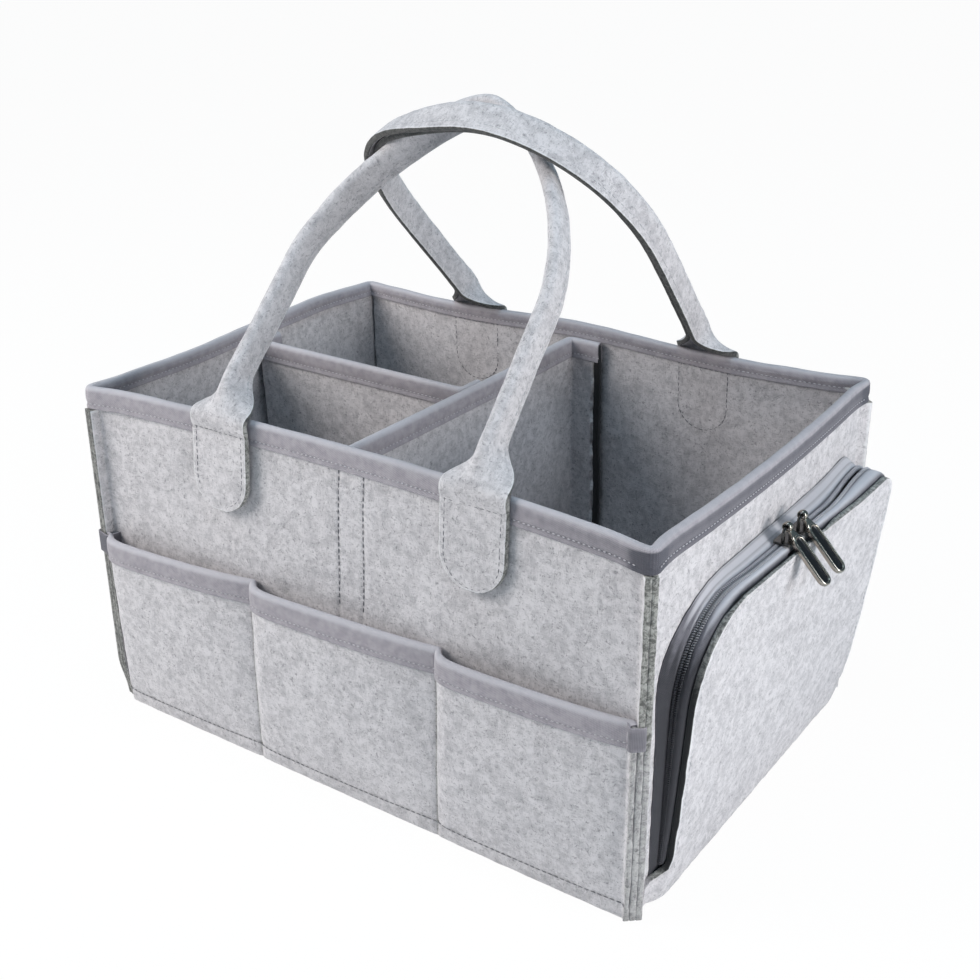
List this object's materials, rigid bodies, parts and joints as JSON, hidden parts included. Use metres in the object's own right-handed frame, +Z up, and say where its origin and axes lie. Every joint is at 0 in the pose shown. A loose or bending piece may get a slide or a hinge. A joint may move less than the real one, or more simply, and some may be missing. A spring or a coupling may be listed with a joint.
{
  "type": "felt nappy caddy",
  "caption": "Open felt storage box with sewn dividers, outside slip pockets, a zipped end pocket and strap handles that lean over the middle.",
  "frame": {"origin": "middle of the underside of the base panel, on the surface that the caddy stands on", "axes": "+X along the long side towards the zipped end, +Y from the front long side to the back one, +Z up"},
  "size_m": [0.3737, 0.2528, 0.3344],
  "materials": {
    "felt": "light grey melange wool-look felt, matte",
    "binding": "grey woven binding tape, matte",
    "zip_tape": "grey woven zip tape, matte",
    "zip_coil": "dark grey nylon coil",
    "gunmetal": "polished gunmetal plating"
  },
  "bodies": {
    "caddy": {"base_panel": "felt", "front_wall": "felt", "back_wall": "felt", "left_wall": "felt", "right_wall": "felt", "rim_binding": "binding", "front_pocket_strip": "felt", "front_pocket_binding": "binding", "back_pocket_strip": "felt", "back_pocket_binding": "binding", "cross_divider": "felt", "cross_divider_binding": "binding", "short_divider": "felt", "short_divider_binding": "binding", "front_handle_tab_left": "felt", "front_handle_tab_right": "felt", "back_handle_tab_left": "felt", "back_handle_tab_right": "felt", "zip_tape_wall": "zip_tape", "zip_coil_wall": "zip_coil"},
    "front_handle": {"front_handle_strap": "felt"},
    "back_handle": {"back_handle_strap": "felt"},
    "flap": {"pocket_flap": "felt", "zip_tape_flap": "zip_tape", "zip_coil_flap": "zip_coil"},
    "slider_front": {"zip_slider_front": "gunmetal"},
    "slider_back": {"zip_slider_back": "gunmetal"},
    "pull_front": {"zip_pull_front": "gunmetal"},
    "pull_back": {"zip_pull_back": "gunmetal"}
  },
  "joints": [
    {"name": "back_handle_swing", "type": "hinge", "parent": "caddy", "child": "back_handle", "pos_m": [0, 0.10997, 0.188], "axis": [-1, 0, 0], "range_deg": [0, 150]},
    {"name": "front_handle_swing", "type": "hinge", "parent": "caddy", "child": "front_handle", "pos_m": [0, -0.10997, 0.188], "axis": [1, 0, 0], "range_deg": [0, 150]},
    {"name": "pocket_flap_fold", "type": "hinge", "parent": "caddy", "child": "flap", "pos_m": [0.1687, 0, 0.0024], "axis": [0, 1, 0], "range_deg": [0, 72]},
    {"name": "front_slider_travel", "type": "slide", "parent": "flap", "child": "slider_front", "axis": [-0.038, -0.9993, 0], "range_m": [0, 0.04]},
    {"name": "back_slider_travel", "type": "slide", "parent": "flap", "child": "slider_back", "axis": [0.053, 0.9986, 0], "range_m": [0, 0.036]},
    {"name": "front_pull_lift", "type": "hinge", "parent": "slider_front", "child": "pull_front", "pos_m": [0.17712, -0.006, 0.1546], "axis": [0, -1, 0], "range_deg": [0, 125]},
    {"name": "back_pull_lift", "type": "hinge", "parent": "slider_back", "child": "pull_back", "pos_m": [0.17783, 0.0095, 0.1546], "axis": [0, -1, 0], "range_deg": [0, 125]}
  ],
  "couplings": [
    {"joint": "front_handle_swing", "follows": "back_handle_swing", "ratio": 1}
  ]
}
